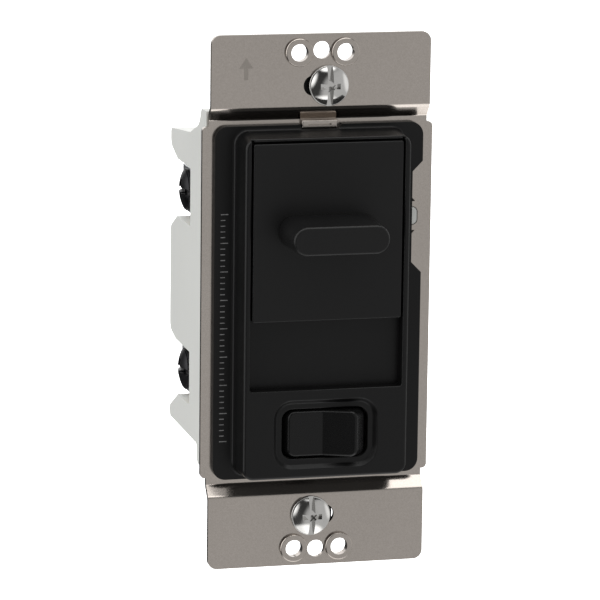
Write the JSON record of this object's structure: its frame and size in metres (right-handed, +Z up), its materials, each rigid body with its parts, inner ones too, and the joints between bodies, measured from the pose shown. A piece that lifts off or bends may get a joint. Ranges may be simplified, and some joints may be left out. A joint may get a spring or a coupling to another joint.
{
  "type": "slide dimmer switch",
  "caption": "Wall dimmer on a jogged steel strap: black bezel with a sliding brightness knob above a rocker switch, and a pale housing with side terminals behind.",
  "frame": {"origin": "the middle of the two wall plate screw holes, on the wall plane behind the strap's ears", "axes": "+X to the right and +Z up as the switch is mounted, +Y back into the wall box, front facing -Y"},
  "size_m": [0.045, 0.0515, 0.1032],
  "materials": {
    "strap_steel": "satin nickel plated, fine grain",
    "bezel_plastic": "satin black moulded",
    "slider_plastic": "satin black moulded",
    "rocker_plastic": "semi gloss black moulded",
    "inner_plastic": "dark moulded",
    "housing_plastic": "pale grey moulded, fine texture",
    "nickel": "bright nickel plated",
    "black_screw": "black oxide",
    "green_screw": "green passivated",
    "brass": "plain",
    "copper": "enamelled copper",
    "silver": "silver contact",
    "zinc": "zinc plated",
    "spring_steel": "drawn wire",
    "fibre": "black vulcanised fibre",
    "board": "green solder mask",
    "phenolic": "phenolic with carbon track",
    "epoxy": "moulded epoxy",
    "film": "yellow case",
    "resistor": "lacquered",
    "glass_body": "glass sealed diode",
    "ferrite": "powdered iron ring",
    "silicone": "thermal pad"
  },
  "bodies": {
    "root": {"assembly_screws": "zinc", "bezel_frame": "bezel_plastic", "choke_core": "ferrite", "choke_winding": "copper", "circuit_board": "board", "contact_fulcrum": "brass", "film_capacitor": "film", "fixed_contact_left": "brass", "fixed_contact_right": "brass", "fixed_contact_tips": "silver", "insulator_pad": "silicone", "mounting_strap": "strap_steel", "potentiometer_case": "zinc", "potentiometer_track": "phenolic", "rear_housing": "housing_plastic", "resistors": "resistor", "signal_diodes": "glass_body", "terminal_plate_left_lower": "brass", "terminal_plate_left_upper": "brass", "terminal_plate_right_lower": "brass", "timing_capacitor": "film", "triac_leads": "nickel", "triac_package": "epoxy", "triac_rivet": "zinc", "triac_tab": "nickel"},
    "slider": {"slider_button": "slider_plastic", "slider_carriage": "inner_plastic", "potentiometer_lever": "inner_plastic", "potentiometer_wiper": "brass"},
    "rocker": {"rocker_paddle": "rocker_plastic", "plunger_spring": "spring_steel"},
    "plunger": {"rocker_plunger": "inner_plastic"},
    "contact_lever": {"contact_arm": "copper", "moving_contact_tips": "silver"},
    "upper_retainer": {"screw_retainer_upper": "fibre"},
    "upper_box_screw": {"box_screw_upper": "nickel"},
    "lower_retainer": {"screw_retainer_lower": "fibre"},
    "lower_box_screw": {"box_screw_lower": "nickel"},
    "ground_plate": {"ground_clamp": "zinc"},
    "ground_fastener": {"ground_screw": "green_screw"},
    "clamp_left_upper": {"terminal_clamp_left_upper": "zinc"},
    "screw_left_upper": {"terminal_screw_left_upper": "black_screw"},
    "clamp_left_lower": {"terminal_clamp_left_lower": "zinc"},
    "screw_left_lower": {"terminal_screw_left_lower": "black_screw"},
    "clamp_right_lower": {"terminal_clamp_right_lower": "zinc"},
    "screw_right_lower": {"terminal_screw_right_lower": "black_screw"}
  },
  "joints": [
    {"name": "slider_travel", "type": "slide", "parent": "root", "child": "slider", "axis": [0, 0, 1], "range_m": [-0.013, 0]},
    {"name": "rocker_tilt", "type": "hinge", "parent": "root", "child": "rocker", "pos_m": [0, -0.0039, -0.0242], "axis": [0, 0, 1], "range_deg": [0, 20]},
    {"name": "plunger_press", "type": "slide", "parent": "rocker", "child": "plunger", "axis": [0.1736, 0.9848, 0], "range_m": [-0.0004, 0], "stiffness_N_per_m": 400, "springref_m": 0.0005},
    {"name": "contact_swing", "type": "hinge", "parent": "root", "child": "contact_lever", "pos_m": [0, 0.009, -0.0242], "axis": [0, 0, 1], "range_deg": [-12, 0]},
    {"name": "clamp_travel_left_upper", "type": "slide", "parent": "root", "child": "clamp_left_upper", "axis": [1, 0, 0], "range_m": [-0.0012, 0.0009]},
    {"name": "screw_turn_left_upper", "type": "hinge", "parent": "clamp_left_upper", "child": "screw_left_upper", "pos_m": [-0.02, 0.0243, 0.0181], "axis": [1, 0, 0], "range_deg": [-545.08, 409.06]},
    {"name": "clamp_travel_left_lower", "type": "slide", "parent": "root", "child": "clamp_left_lower", "axis": [1, 0, 0], "range_m": [-0.0012, 0.0009]},
    {"name": "screw_turn_left_lower", "type": "hinge", "parent": "clamp_left_lower", "child": "screw_left_lower", "pos_m": [-0.02, 0.0243, -0.01755], "axis": [1, 0, 0], "range_deg": [-545.08, 409.06]},
    {"name": "clamp_travel_right_lower", "type": "slide", "parent": "root", "child": "clamp_right_lower", "axis": [-1, 0, 0], "range_m": [-0.0012, 0.0009]},
    {"name": "screw_turn_right_lower", "type": "hinge", "parent": "clamp_right_lower", "child": "screw_right_lower", "pos_m": [0.02, 0.0243, -0.01755], "axis": [-1, 0, 0], "range_deg": [-545.08, 409.06]},
    {"name": "ground_plate_travel", "type": "slide", "parent": "root", "child": "ground_plate", "axis": [0, 0, 1], "range_m": [-0.0015, 0]},
    {"name": "ground_screw_turn", "type": "hinge", "parent": "ground_plate", "child": "ground_fastener", "pos_m": [0.013, 0.007, -0.0355], "axis": [0, 0, 1], "range_deg": [-681.1, 0]},
    {"name": "upper_screw_shift", "type": "slide", "parent": "root", "child": "upper_retainer", "axis": [1, 0, 0], "range_m": [-0.003, 0.0004]},
    {"name": "upper_screw_turn", "type": "hinge", "parent": "upper_retainer", "child": "upper_box_screw", "pos_m": [0.0013, 0, 0.04167], "axis": [0, 1, 0], "continuous": true},
    {"name": "lower_screw_shift", "type": "slide", "parent": "root", "child": "lower_retainer", "axis": [1, 0, 0], "range_m": [-0.0005, 0.0029]},
    {"name": "lower_screw_turn", "type": "hinge", "parent": "lower_retainer", "child": "lower_box_screw", "pos_m": [-0.0012, 0, -0.04167], "axis": [0, 1, 0], "continuous": true}
  ],
  "couplings": [
    {"joint": "contact_swing", "follows": "rocker_tilt", "ratio": -0.6},
    {"joint": "screw_turn_left_upper", "follows": "clamp_travel_left_upper", "rad_per_m": 7913.3},
    {"joint": "screw_turn_left_lower", "follows": "clamp_travel_left_lower", "rad_per_m": 7913.3},
    {"joint": "screw_turn_right_lower", "follows": "clamp_travel_right_lower", "rad_per_m": 7913.3},
    {"joint": "ground_screw_turn", "follows": "ground_plate_travel", "rad_per_m": 7913.3}
  ]
}
